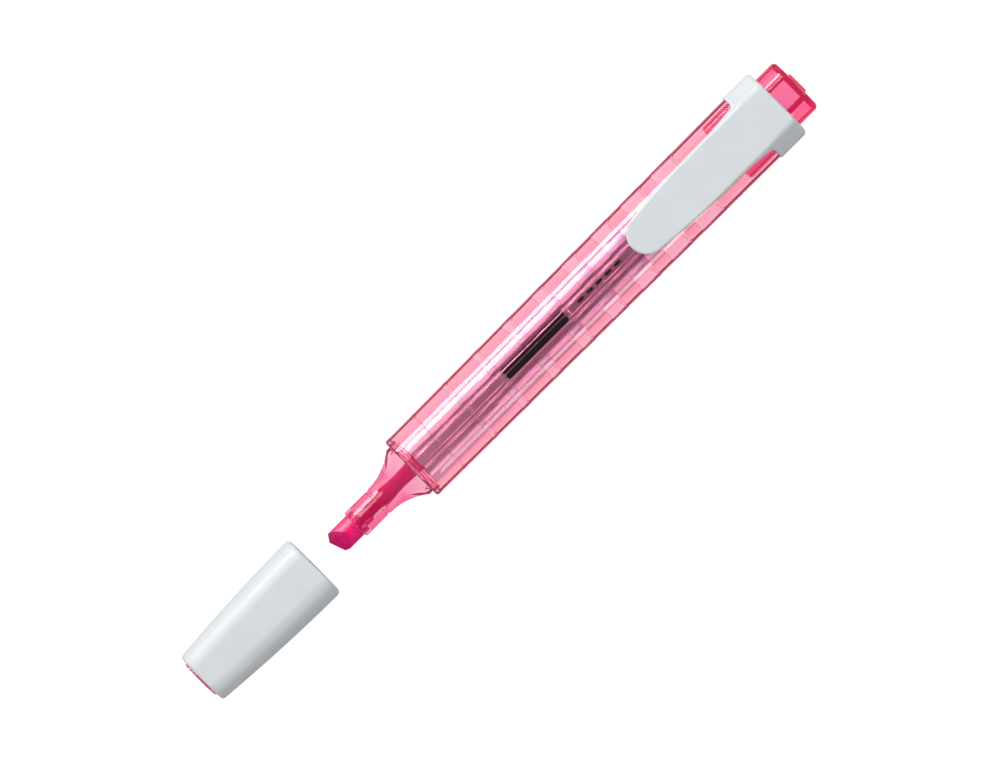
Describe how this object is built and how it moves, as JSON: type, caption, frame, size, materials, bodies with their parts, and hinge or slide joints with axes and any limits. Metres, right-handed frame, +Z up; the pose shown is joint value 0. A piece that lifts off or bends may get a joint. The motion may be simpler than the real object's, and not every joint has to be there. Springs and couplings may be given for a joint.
{
  "type": "highlighter pen",
  "caption": "Flat eight-sided highlighter with a clear ribbed barrel, a chisel nib, a spring clip on a collar and a pull-off cap, shown uncapped.",
  "frame": {"origin": "under the middle of the whole length, on the surface that the pen lies on", "axes": "+X runs along the pen from the cap towards the tail, +Y across it, +Z up out of the face that carries the clip"},
  "size_m": [0.1582, 0.0156, 0.0137],
  "materials": {
    "clear_pink": "clear tinted polypropylene, glossy",
    "deep_pink": "strongly tinted clear plastic, glossy",
    "pale_grey": "satin moulded plastic",
    "ink_fibre": "ink-soaked porous fibre, matte",
    "film": "thin silvery plastic film",
    "soft_seal": "soft translucent plastic"
  },
  "bodies": {
    "pen": {"barrel": "clear_pink", "front_section": "clear_pink", "nib": "ink_fibre", "ink_reservoir": "ink_fibre", "reservoir_film": "film", "tail_plug": "deep_pink", "clip_collar": "pale_grey"},
    "clip": {"clip_blade": "pale_grey"},
    "cap": {"cap_shell": "pale_grey", "cap_end_plug": "deep_pink", "cap_inner_seal": "soft_seal"}
  },
  "joints": [
    {"name": "cap_slide", "type": "slide", "parent": "pen", "child": "cap", "axis": [1, 0, 0], "range_m": [0, 0.0253]},
    {"name": "clip_flex", "type": "hinge", "parent": "pen", "child": "clip", "pos_m": [0.06615, 0, 0.01293], "axis": [0, 1, 0], "range_deg": [0, 4], "stiffness_Nm_per_rad": 1.2}
  ]
}
